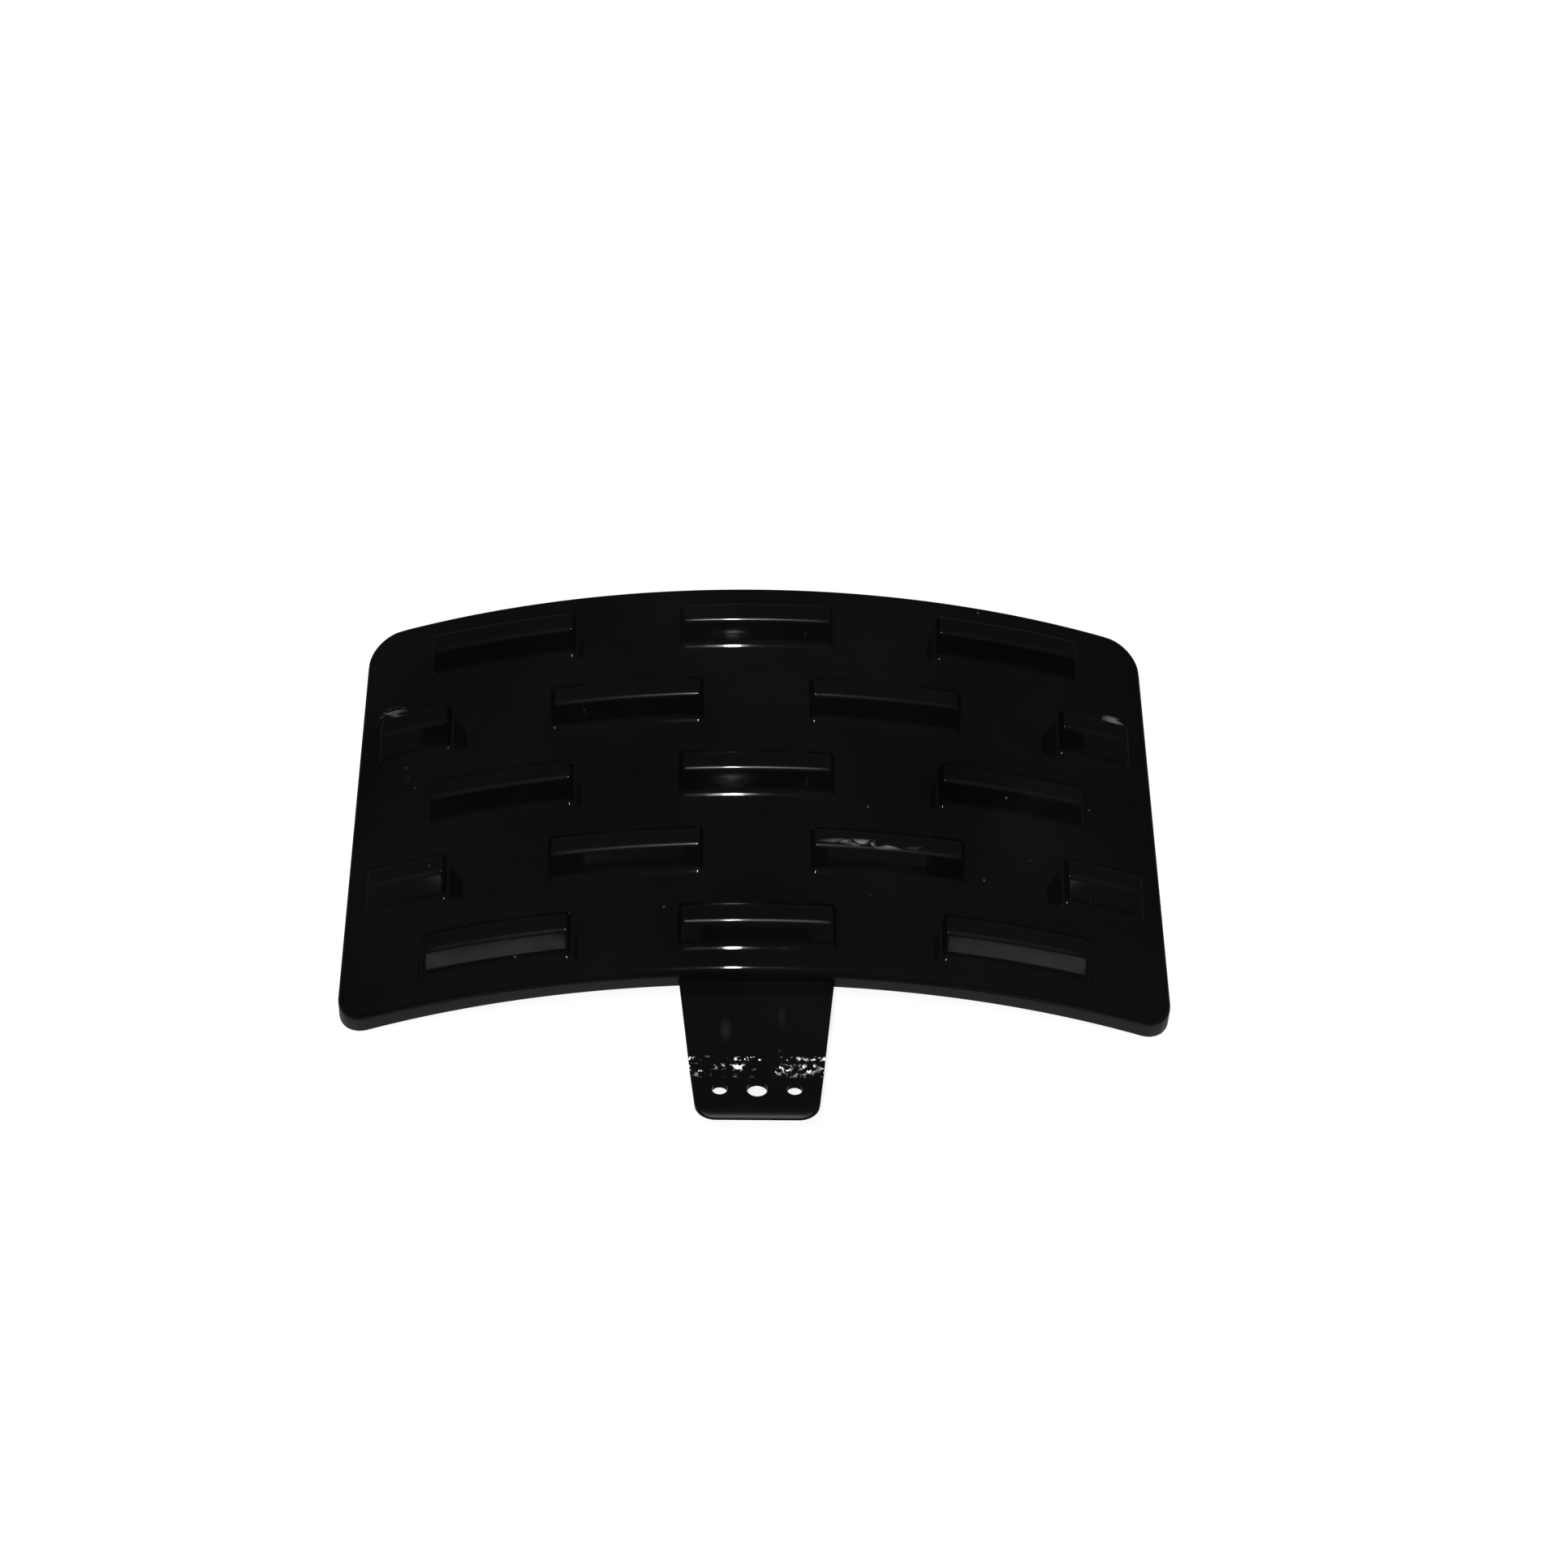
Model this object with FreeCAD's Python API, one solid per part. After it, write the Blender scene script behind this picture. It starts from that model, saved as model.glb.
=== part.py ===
import FreeCAD, Part
import math
import os
from FreeCAD import Vector

# Scooter front panel trim: one gloss black moulding, millimetres.
# It is modelled with the crown line of the panel along Y at z = 0, the tab at -Y and the hollow
# side down, and is set down on its two side rims at the end.

# Panel
crown_radius = 350.0
panel_length = 187.6
near_width = 343.3
far_width = 326.3
near_corner_radius = 13.0
far_corner_radius = 15.0
rim_depth = 11.0
wall = 2.5
rim_round = 4.0

# Raised bars, in staggered rows counted from the far edge
row_count = 5
row_pitch = 36.5
column_pitch = 54.0
bar_width = 63.0
bar_depth = 19.0
bar_height = 11.7
bar_top_width = 61.6
bar_top_depth = 7.9
bar_edge_round = 2.2
bar_foot_round = 5.9
foot_bite = 0.1
side_margin = 10.0

# Mounting tab with its bent foot
tab_root_width = 63.0
tab_end_width = 48.5
tab_run = 40.0
foot_length = 26.8
foot_rise_deg = 14.0
tab_thickness = 3.0
tab_bend_radius = 5.0
tab_corner_radius = 6.0
hole_from_end = 15.3
centre_hole_d = 8.4
side_hole_d = 6.4
side_hole_offset = 15.0

# Derived sizes
near_y = -panel_length / 2
far_y = panel_length / 2
axis_z = -crown_radius
inner_radius = crown_radius - wall
rim_radius = crown_radius - rim_depth
foot_rise = math.radians(foot_rise_deg)
end_draft = (bar_width - bar_top_width) / 2 / bar_height
slope_run = (bar_depth - bar_top_depth) / 2 / bar_height
slope_angle = math.atan2(1, slope_run)


def half_width(y):
    """Half of the panel's chord at a place along its length."""
    share = (y - near_y) / panel_length
    return (near_width + share * (far_width - near_width)) / 2


def half_arc(y):
    """Half of the panel's width measured along its curved face."""
    return crown_radius * math.asin(half_width(y) / crown_radius)


def column_cylinder(radius):
    """A solid cylinder about the panel's axis, longer than the panel."""
    length = 3 * panel_length
    return Part.makeCylinder(radius, length, Vector(0, -length / 2, axis_z), Vector(0, 1, 0))


def rounded_plan(points, radii):
    """A flat face with straight sides and each corner rounded to its own radius."""
    edges = []
    count = len(points)
    starts = []
    ends = []
    for i in range(count):
        corner = points[i]
        before = (points[i - 1] - corner).normalize()
        after = (points[(i + 1) % count] - corner).normalize()
        half = before.getAngle(after) / 2
        reach = radii[i] / math.tan(half)
        middle = (before + after).normalize()
        centre = corner + middle * (radii[i] / math.sin(half))
        starts.append(corner + before * reach)
        ends.append(corner + after * reach)
        edges.append(Part.Arc(starts[i], centre - middle * radii[i], ends[i]).toShape())
    for i in range(count):
        edges.append(Part.makeLine(ends[i], starts[(i + 1) % count]))
    return Part.Face(Part.Wire(Part.__sortEdges__(edges)))


def plan_prism(inset):
    """The panel's outline in plan, drawn in by an inset, as an upright prism."""
    taper = math.atan((near_width - far_width) / 2 / panel_length)
    step = inset / math.cos(taper)
    near = near_y + inset
    far = far_y - inset
    points = [
        Vector(-half_width(near) + step, near, -crown_radius / 2),
        Vector(half_width(near) - step, near, -crown_radius / 2),
        Vector(half_width(far) - step, far, -crown_radius / 2),
        Vector(-half_width(far) + step, far, -crown_radius / 2),
    ]
    near_r = near_corner_radius - inset
    far_r = far_corner_radius - inset
    return rounded_plan(points, [near_r, near_r, far_r, far_r]).extrude(Vector(0, 0, crown_radius))


def edges_on(shape, radius):
    """The edges of a shape that lie wholly on a cylinder about the panel's axis."""
    found = []
    for edge in shape.Edges:
        places = [edge.valueAt(edge.FirstParameter + f * (edge.LastParameter - edge.FirstParameter))
                  for f in (0.0, 0.3, 0.7, 1.0)]
        if all(abs(math.hypot(p.x, p.z - axis_z) - radius) < 0.01 for p in places):
            found.append(edge)
    return found


def make_panel():
    """The curved panel with its turned-down rim, open below."""
    slab = plan_prism(0).common(column_cylinder(crown_radius))
    slab = slab.makeFillet(rim_round, edges_on(slab, crown_radius))
    core = plan_prism(wall).common(column_cylinder(inner_radius))
    return slab.cut(core).cut(column_cylinder(rim_radius))


def mirrored(points):
    """Half a bar's section followed by the same points for its other half, walked back."""
    return points + [(bar_depth - along, up) for along, up in reversed(points)]


def bar_section(front_y):
    """A bar's outer section: sloping sides, rounded top edges and hollow-rounded feet.

    The foot roundings run a little way into the panel's face, so they meet it in a fine line.
    """
    cosine = math.cos(slope_angle)
    sine = math.sin(slope_angle)
    half_cosine = math.cos(slope_angle / 2)
    half_sine = math.sin(slope_angle / 2)
    foot_reach = bar_foot_round * math.tan(slope_angle / 2)
    top_reach = bar_edge_round * math.tan(slope_angle / 2)
    foot = -foot_bite * slope_run
    start = foot - foot_reach
    edge = bar_height * slope_run
    flat = edge + top_reach
    outline = mirrored([
        (start, -wall / 2),
        (start, -foot_bite),
        (start + bar_foot_round * half_sine, bar_foot_round * (1 - half_cosine) - foot_bite),
        (foot + foot_reach * cosine, foot_reach * sine - foot_bite),
        (edge - top_reach * cosine, bar_height - top_reach * sine),
        (flat - bar_edge_round * half_sine, bar_height - bar_edge_round * (1 - half_cosine)),
        (flat, bar_height),
    ])
    corners = [Vector(0, front_y + along, crown_radius + up) for along, up in outline]
    edges = [
        Part.makeLine(corners[0], corners[1]),
        Part.Arc(*corners[1:4]).toShape(),
        Part.makeLine(corners[3], corners[4]),
        Part.Arc(*corners[4:7]).toShape(),
        Part.makeLine(corners[6], corners[7]),
        Part.Arc(*corners[7:10]).toShape(),
        Part.makeLine(corners[9], corners[10]),
        Part.Arc(*corners[10:13]).toShape(),
        Part.makeLine(corners[12], corners[13]),
        Part.makeLine(corners[13], corners[0]),
    ]
    return Part.Face(Part.Wire(edges))


def hollow_section(front_y):
    """The plain section of the hollow that keeps an even wall behind a bar."""
    shift = wall * math.hypot(1, slope_run)
    levels = (-wall - 1, bar_height - wall)
    outline = mirrored([(shift + level * slope_run, level) for level in levels])
    corners = [Vector(0, front_y + along, crown_radius + up) for along, up in outline]
    return Part.Face(Part.makePolygon(corners + corners[:1]))


def bar_block(section, left, right, inset):
    """A section swept along the curved face between two arc lengths.

    Its ends stand upright with a slight draft, the way the moulding leaves its mould.
    """
    axis = Vector(0, 1, 0)
    spare = math.radians(3)
    start = left / crown_radius - spare
    sweep = (right - left) / crown_radius + 2 * spare
    section.rotate(Vector(0, 0, 0), axis, math.degrees(start))
    ridge = section.revolve(Vector(0, 0, 0), axis, math.degrees(sweep))
    low = crown_radius / 2
    high = crown_radius + bar_height + 1
    end_inset = inset * math.hypot(1, end_draft)
    ends = []
    for arc, inward, levels in ((left, 1, (low, high)), (right, -1, (high, low))):
        end_x = crown_radius * math.sin(arc / crown_radius)
        end_z = crown_radius * math.cos(arc / crown_radius)
        for level in levels:
            ends.append(Vector(end_x + inward * (end_inset + (level - end_z) * end_draft), 0, level))
    wedge = Part.Face(Part.makePolygon(ends + ends[:1])).extrude(Vector(0, 4 * panel_length, 0))
    wedge.translate(Vector(0, -2 * panel_length, 0))
    block = ridge.common(wedge)
    block.translate(Vector(0, 0, axis_z))
    return block


def bar_places():
    """Front line and both ends, as arc lengths, of every bar."""
    margin = (panel_length - (row_count - 1) * row_pitch - bar_depth) / 2
    places = []
    for row in range(row_count):
        front = far_y - margin - bar_depth - row * row_pitch
        limit = half_arc(front + bar_depth / 2) - side_margin
        columns = (-3, -1, 1, 3) if row % 2 else (-2, 0, 2)
        for column in columns:
            left = max(column * column_pitch - bar_width / 2, -limit)
            right = min(column * column_pitch + bar_width / 2, limit)
            places.append((front, left, right))
    return places


def make_tab():
    """The tab that leaves the foot of the near rim, its bent foot and three holes."""
    top = -rim_depth + tab_thickness
    root = near_y + wall / 2
    bend = near_y - tab_run
    bend_line = Vector(0, bend, top)
    foot_dir = Vector(0, -math.cos(foot_rise), math.sin(foot_rise))
    foot_up = Vector(0, math.sin(foot_rise), math.cos(foot_rise))
    tip = bend_line + foot_dir * foot_length
    shift = tab_thickness * math.tan(foot_rise / 2)
    under_bend = Vector(0, bend - shift, top - tab_thickness)
    profile = [
        Vector(0, root, top),
        bend_line,
        tip,
        tip - foot_up * tab_thickness,
        under_bend,
        Vector(0, root, top - tab_thickness),
    ]
    wide = tab_root_width + 2 * tab_corner_radius
    plate = Part.Face(Part.makePolygon(profile + profile[:1])).extrude(Vector(wide, 0, 0))
    plate.translate(Vector(-wide / 2, 0, 0))
    bends = {round(bend_line.y, 3): tab_bend_radius, round(under_bend.y, 3): tab_bend_radius + tab_thickness}
    for y, radius in bends.items():
        line = [e for e in plate.Edges if all(abs(v.Y - y) < 0.01 for v in e.Vertexes)]
        plate = plate.makeFillet(radius, line)
    spread = (tab_root_width - tab_end_width) / 2 / (root - tip.y)
    past_root = root + 2 * tab_corner_radius
    past_half = tab_end_width / 2 + spread * (past_root - tip.y)
    points = [
        Vector(-tab_end_width / 2, tip.y, -panel_length),
        Vector(tab_end_width / 2, tip.y, -panel_length),
        Vector(past_half, past_root, -panel_length),
        Vector(-past_half, past_root, -panel_length),
    ]
    plan = rounded_plan(points, [tab_corner_radius] * 4).extrude(Vector(0, 0, 2 * panel_length))
    tab = plate.common(plan)
    hole_middle = tip - foot_dir * hole_from_end
    for x, diameter in ((-side_hole_offset, side_hole_d), (0, centre_hole_d), (side_hole_offset, side_hole_d)):
        start = hole_middle + Vector(x, 0, 0) - foot_up * 3 * tab_thickness
        tab = tab.cut(Part.makeCylinder(diameter / 2, 6 * tab_thickness, start, foot_up))
    return tab


def seated(shape):
    """The moulding set down on its two side rims, centred over the origin."""
    def rim_low(width):
        return math.sqrt(rim_radius ** 2 - (width / 2) ** 2)

    seat = math.atan((rim_low(far_width) - rim_low(near_width)) / panel_length)
    shape.rotate(Vector(0, 0, 0), Vector(1, 0, 0), -math.degrees(seat))
    box = shape.optimalBoundingBox(False)
    shape.translate(Vector(-box.Center.x, -box.Center.y, -box.ZMin))
    return shape


def main():
    os.makedirs("parts", exist_ok=True)
    places = bar_places()
    bars = [bar_block(bar_section(front), left, right, 0) for front, left, right in places]
    trim = make_panel().multiFuse(bars + [make_tab()])
    hollows = [bar_block(hollow_section(front), left, right, wall) for front, left, right in places]
    trim = trim.cut(Part.makeCompound(hollows)).removeSplitter()
    trim = seated(trim)
    box = trim.optimalBoundingBox(False)
    print("solids", len(trim.Solids), "valid", trim.isValid(), "volume", round(trim.Volume), "box", box)
    trim.exportStep("parts/front_panel_trim.step")


main()
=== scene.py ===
# %% [markdown]
# # Scooter front panel trim
# A curved cover of gloss black plastic lies on a white table with its raised bars up and its
# mounting tab towards the camera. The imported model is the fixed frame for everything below: it is
# loaded first, and its box is kept so that the finished piece can be measured against it.

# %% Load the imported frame
import bmesh
import bpy
import numpy as np
from mathutils import Matrix


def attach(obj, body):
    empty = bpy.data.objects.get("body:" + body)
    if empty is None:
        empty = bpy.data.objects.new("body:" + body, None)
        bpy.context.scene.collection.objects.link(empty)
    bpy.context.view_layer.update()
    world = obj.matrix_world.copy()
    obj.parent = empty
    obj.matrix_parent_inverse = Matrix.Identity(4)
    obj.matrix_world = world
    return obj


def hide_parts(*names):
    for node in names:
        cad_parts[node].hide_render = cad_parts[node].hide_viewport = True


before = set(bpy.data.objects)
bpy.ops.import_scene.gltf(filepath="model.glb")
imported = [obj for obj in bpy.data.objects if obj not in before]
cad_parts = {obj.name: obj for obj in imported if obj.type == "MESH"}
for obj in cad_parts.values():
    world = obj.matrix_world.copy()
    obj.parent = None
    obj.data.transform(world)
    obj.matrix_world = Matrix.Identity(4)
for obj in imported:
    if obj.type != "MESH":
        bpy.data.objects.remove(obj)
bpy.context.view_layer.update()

# %% [markdown]
# ## The sizes
# The moulding is worked out in millimetres, as a mould maker would write it, and is turned into
# metres at the end. The crown line of the panel runs along Y at height zero, the tab points to -Y,
# and the face is part of a cylinder about an axis far below. The widths are a tenth of a millimetre
# under the solid's, so that the finely rounded corners stay inside its box.

# %% Sizes of the panel and its bars
crown_radius = 350.0
panel_length = 187.6
near_width, far_width = 343.2, 326.2
near_corner, far_corner = 13.0, 15.0
rim_depth, wall, rim_round = 11.0, 2.5, 4.0
rim_middle_radius, lip_foot_radius = crown_radius - rim_round, crown_radius - rim_depth
near_y, far_y = -panel_length / 2, panel_length / 2
taper = np.arctan((near_width - far_width) / 2 / panel_length)

row_count, row_pitch, column_pitch = 5, 36.5, 54.0
bar_width, bar_depth, bar_height = 63.0, 19.0, 11.7
bar_top_width, bar_top_depth = 61.6, 7.9
bar_foot_round, bar_edge_round = 5.9, 2.2
end_foot_round, end_edge_round = 1.9, 1.2
side_margin = 10.0
front_run, end_run = (bar_depth - bar_top_depth) / 2, (bar_width - bar_top_width) / 2


def half_width(y):
    """Half of the panel's chord: it grows evenly from the far edge to the near edge."""
    return (near_width + (y - near_y) / panel_length * (far_width - near_width)) / 2


print("chord at the middle", 2 * half_width(0.0), "mm, taper", round(np.degrees(taper), 2), "degrees")

# %% [markdown]
# ## How a bar rises from the face
# On the real part every edge is softened by the mould: a wide hollow round at the foot of a bar's
# front and a small full round at its top. Bevelling a mesh could do this, but the reflections on
# gloss plastic show each uneven facet. Here a slope is a table of heights with two exact arcs, and
# grid lines are put where it passes chosen levels, so they crowd on the arcs. A line close to each
# arc on the straight part keeps the shading of that part flat, as its clean reflections need.

# %% A slope with a rounded foot and a rounded top
guard, arc_steps = 0.3, 60


def slope_table(run, foot_r, top_r):
    """Heights of a slope from foot to top, and how far past its foot line each is reached.

    With b the slope's angle, the foot arc is (r sin t - r tan(b/2), r - r cos t) for t from 0 to b
    and the top arc (run + r tan(b/2) - r sin t, rise - r + r cos t) for t from b back to 0. The
    straight part joins them.
    """
    angle = np.arctan2(bar_height, run)
    t = np.linspace(0, angle, arc_steps)
    foot_way = foot_r * (np.sin(t) - np.tan(angle / 2))
    top_way = run + top_r * (np.tan(angle / 2) - np.sin(t[::-1]))
    heights = np.concatenate([foot_r * (1 - np.cos(t)), bar_height - top_r * (1 - np.cos(t[::-1]))])
    return heights, np.concatenate([foot_way, top_way])


def slope_lines(table, levels):
    """Distances at which a slope passes the levels, with a guard line on the flat at either side."""
    at = np.interp(levels, *table)
    return np.concatenate([[at[0] - guard], at, [at[-1] + guard]])


front_table = slope_table(front_run, bar_foot_round, bar_edge_round)
end_table = slope_table(end_run, end_foot_round, end_edge_round)


def arc_levels(foot_turns, foot_r, top_turns, top_r):
    """Heights at which a slope has turned by the given degrees: r - r cos t from its foot or top."""
    foot = foot_r * (1 - np.cos(np.radians(foot_turns)))
    top = top_r * (1 - np.cos(np.radians(top_turns)))
    return np.concatenate([foot, bar_height - top])


front_turns = [0, 8, 16, 25, 34, 44, 54, 64.5]
front_levels = arc_levels(front_turns, bar_foot_round, front_turns[::-1], bar_edge_round)
foot_count = len(front_turns)
straight_from, straight_to = front_levels[foot_count - 1:foot_count + 1]
front_levels = np.insert(front_levels, foot_count, [straight_from + guard, straight_to - guard])
end_foot_turns, end_top_turns = [0, 26, 46, 62, 75, 86.5], [86.5, 66, 50, 36, 23, 11, 0]
end_levels = arc_levels(end_foot_turns, end_foot_round, end_top_turns, end_edge_round)
print("lines on a bar's front", np.round(slope_lines(front_table, front_levels), 2))

# %% [markdown]
# ## Where the bars are
# Five rows are staggered like bricks: three bars in the odd rows, two and two halves in the even
# ones. The halves at the sides stop short of the rim. The ends of every bar stand upright, since
# the whole part has to leave its mould straight up, so the ends are kept as places in plan.

# %% Rows, columns and the ends of the bars
row_margin = (panel_length - (row_count - 1) * row_pitch - bar_depth) / 2
row_fronts = far_y - row_margin - bar_depth - row_pitch * np.arange(row_count)


def half_arc(y):
    """Half of the width along the curved face: the radius times the angle of the half chord."""
    return crown_radius * np.arcsin(half_width(y) / crown_radius)


def row_ends(row):
    """Left and right foot of each bar of a row, in plan: the radius times the sine of arc / radius."""
    limit = half_arc(row_fronts[row] + bar_depth / 2) - side_margin
    middles = column_pitch * np.array([-3, -1, 1, 3] if row % 2 else [-2, 0, 2])
    arcs = np.clip(middles[:, None] + np.array([-0.5, 0.5]) * bar_width, -limit, limit)
    return crown_radius * np.sin(arcs / crown_radius)


print("bars", sum(len(row_ends(row)) for row in range(row_count)), "row fronts", row_fronts)

# %% [markdown]
# ## The grid of the face
# One grid of lines across and along the panel carries the whole face. Every line that a bar's edge
# needs runs right through the panel, which costs some faces and keeps all of them four-sided. At
# the sides the lines follow the ends of the outer bars and the slanted rim.

# %% Lines across and along the panel
edge_lines = np.array([0, 0.4, 2.5])
row_clearance = 6.0
rim_shares = np.array([[0.45], [0.9], [1.0]])


def inset_half(y):
    """Half chord of the outline drawn in by the rim's rounding."""
    return half_width(y) - rim_round / np.cos(taper)


def lines_along(up):
    """Places along the panel of all lines that run across it, from the near to the far edge."""
    near, far = near_y + rim_round, far_y - rim_round
    parts = [near + edge_lines]
    for front in row_fronts[::-1]:
        back = front + bar_depth
        parts += [front + up, [front + bar_depth / 2], (back - up)[::-1],
                  [back + (row_pitch - bar_depth) / 2]]
    parts[-1] = far - edge_lines[::-1]
    return np.concatenate(parts)


def lines_across(y, up, radius):
    """Places across the panel of all lines that run along it, as a table of line by place y.

    The inner lines are straight. The outermost bar ends have their own place in each even row, and
    between the rows the lines there pass evenly from one place to the next.
    """
    odd, even, low = row_ends(0), row_ends(1), row_ends(3)
    fixed = np.concatenate([
        np.linspace(0, even[2, 0] + up[0], 5)[:-1],
        even[2, 0] + up, (odd[1, 1] - up)[::-1],
        np.linspace(odd[1, 1] - up[0], odd[2, 0] + up[0], 8)[1:-1],
        odd[2, 0] + up, (even[2, 1] - up)[::-1],
        np.linspace(even[2, 1] - up[0], even[3, 0] + up[0], 8)[1:-1],
        even[3, 0] + up, (odd[2, 1] - up)[::-1],
    ])
    to_edge = radius / rim_middle_radius
    edge = inset_half(y) * to_edge
    rows = [place for front in (row_fronts[3], row_fronts[1])
            for place in (front - row_clearance, front + bar_depth + row_clearance)]
    gap_low = inset_half(row_fronts[3]) * to_edge - low[3, 1]
    gap_even = inset_half(row_fronts[1] + bar_depth) * to_edge - even[3, 1]
    ends = np.interp(y, [near_y] + rows + [far_y],
                     [inset_half(near_y) * to_edge - gap_low, low[3, 1], low[3, 1],
                      even[3, 1], even[3, 1], inset_half(far_y) * to_edge - gap_even])
    end_lines = ends[None, :] - up[::-1, None]
    fill = np.array([1, 2, 3])[:, None] / 4
    inner_fill = fixed[-1] + (end_lines[0] - fixed[-1])[None, :] * fill
    rim_fill = end_lines[-1] + (edge - end_lines[-1])[None, :] * rim_shares
    right = np.vstack([np.repeat(fixed[:, None], y.size, axis=1), inner_fill, end_lines, rim_fill])
    return np.vstack([-right[:0:-1], right])


def rising(y, x):
    """Whether the lines of a grid follow each other without touching: every step is over 0."""
    return bool((np.diff(y) > 0).all() and (np.diff(x, axis=0) > 0).all())


face_y = lines_along(slope_lines(front_table, front_levels))
face_x = lines_across(face_y, slope_lines(end_table, end_levels), crown_radius)
print("grid of the face", face_x.shape, "rising lines", rising(face_y, face_x))

# %% [markdown]
# ## The height of the bars and the round corners
# Seen from above, a bar is at each level a rectangle with rounded corners that shrinks as the level
# rises, so its upright edges are round too, and most of all at the foot. The four corners of the
# panel are round in plan. A square corner of the grid is laid onto a quarter disc by keeping each
# small square as a ring of the disc, so no line is cut off.

# %% Height of the bars over the face
bar_corner, foot_flare, flare_height = 1.0, 2.0, 3.0
halvings = 32


def inside_ends(x, row):
    """How far a place lies inside the ends of a row's bars: the smaller distance, under 0 outside."""
    return np.max([np.minimum(x - left, right - x) for left, right in row_ends(row)], axis=0)


def bars_height(x, y, along, across, corner_r):
    """Height of all bars, found by halving: the highest level whose rounded rectangle holds a place.

    With a and b the distances inside the rectangle's sides and r its corner radius, a place is out
    where a or b is negative, or where both are under r and (r - a)^2 + (r - b)^2 is over r^2.
    """
    total = np.zeros_like(x)
    for row, front in enumerate(row_fronts):
        lengthwise = np.minimum(y - front, front + bar_depth - y)
        crosswise = inside_ends(x, row)
        low, high = np.zeros_like(x), np.full_like(x, bar_height)
        for _ in range(halvings):
            level = (low + high) / 2
            a = lengthwise - np.interp(level, *along)
            b = crosswise - np.interp(level, *across)
            r = corner_r * (1 + foot_flare * np.clip(1 - level / flare_height, 0, 1) ** 2)
            cut_off = (a < r) & (b < r) & ((r - a) ** 2 + (r - b) ** 2 > r * r)
            held = (a >= 0) & (b >= 0) & ~cut_off
            low, high = np.where(held, level, low), np.where(held, high, level)
        total = np.maximum(total, low)
    return total


print("bars rise to", bar_height, "mm, found in", halvings, "halvings")

# %% Round corners and the curved face
def square_to_disc(a, b):
    """Lays a square corner onto a quarter disc: which places change, and their new shares.

    With a and b the shares of the way from the disc's middle to either edge, the larger one becomes
    the radius and a quarter turn times half their ratio the angle.
    """
    inside = (a > 0) & (b > 0)
    big, small = np.maximum(a, b), np.minimum(a, b)
    turn = np.pi / 4 * small / np.where(inside, big, 1)
    main, other = big * np.cos(turn), big * np.sin(turn)
    return inside, np.where(a >= b, main, other), np.where(a >= b, other, main)


def soften_corners(x, y):
    """Lays the four square corners of a plan grid onto quarter discs."""
    for edge, radius, sign in ((near_y + rim_round, near_corner - rim_round, 1),
                               (far_y - rim_round, far_corner - rim_round, -1)):
        inside, a, b = square_to_disc(1 - (inset_half(y) - np.abs(x)) / radius,
                                      1 - sign * (y - edge) / radius)
        new_y = edge + sign * radius * (1 - b)
        new_x = np.sign(x) * (inset_half(new_y) - radius * (1 - a))
        x, y = np.where(inside, new_x, x), np.where(inside, new_y, y)
    return x, y


def curved_sheet(x, y_lines, height, radius):
    """Plan places at the middle of the rim's rounding, and the curved sheet over them.

    Over a place x the sheet lies at sqrt((radius + height)^2 - x^2) above the panel's axis, so a
    bar's top is a larger cylinder and its ends stand upright.
    """
    y = np.repeat(y_lines[None, :], x.shape[0], axis=0)
    plan_x, y = soften_corners(x * rim_middle_radius / radius, y)
    x = plan_x * radius / rim_middle_radius
    sheet = np.stack([x, y, np.sqrt((radius + height) ** 2 - x ** 2) - crown_radius], axis=-1)
    return np.stack([plan_x, y], axis=-1), sheet


face_h = bars_height(face_x, face_y[None, :] + 0 * face_x, front_table, end_table, bar_corner)
face_plan, face = curved_sheet(face_x, face_y, face_h, crown_radius)
print("bars rise", round(float(face_h.max()), 3), "mm, face spans", np.round(face.max(axis=(0, 1)), 2))

# %% [markdown]
# ## The hollow side
# A moulding has an even wall, so the back follows the face 2.5 mm below it, with a pocket behind
# every bar. The same kind of grid makes it, with the slopes drawn in by the wall and sharp edges,
# since nobody polishes that side of the mould. It needs far fewer lines than the face.

# %% The underside with its pockets
pocket_round, pocket_corner, pocket_middle = 0.4, 0.25, 6.0


def pocket_table(run):
    """A slope with small rounds, moved in so that the wall between it and the outer slope is even."""
    heights, way = slope_table(run, pocket_round, pocket_round)
    grade = run / bar_height
    return heights, way + wall * (np.hypot(1, grade) - grade)


pocket_front, pocket_end = pocket_table(front_run), pocket_table(end_run)
round_levels = np.array([0, 0.08, 0.26])
back_levels = np.concatenate([round_levels, [pocket_middle], bar_height - round_levels[::-1]])
back_y = lines_along(slope_lines(pocket_front, back_levels))
back_x = lines_across(back_y, slope_lines(pocket_end, back_levels), crown_radius - wall)
back_h = bars_height(back_x, back_y[None, :] + 0 * back_x, pocket_front, pocket_end, pocket_corner)
back_plan, back = curved_sheet(back_x, back_y, back_h, crown_radius - wall)
print("rising lines", rising(back_y, back_x), "pockets", round(float(back_h.max()), 2), "mm deep")

# %% [markdown]
# ## The turned-down rim
# All round, the face rolls over a 4 mm round into a short upright lip. The middle of that round
# lies 4 mm inside the outline and 4 mm under the face, and the inside of the lip has the same
# middle with a 1.5 mm round. So a ring of the rim is that middle line plus a direction, which turns
# from straight off the face to straight out of the lip.

# %% Rings of the rim, from the face round the lip to the underside
def round_loop(grid):
    """The border of a grid as one loop: near row, right column, far row and left column."""
    return np.concatenate([grid[:, 0], grid[-1, 1:], grid[-2::-1, -1], grid[0, -2:0:-1]])


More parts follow.
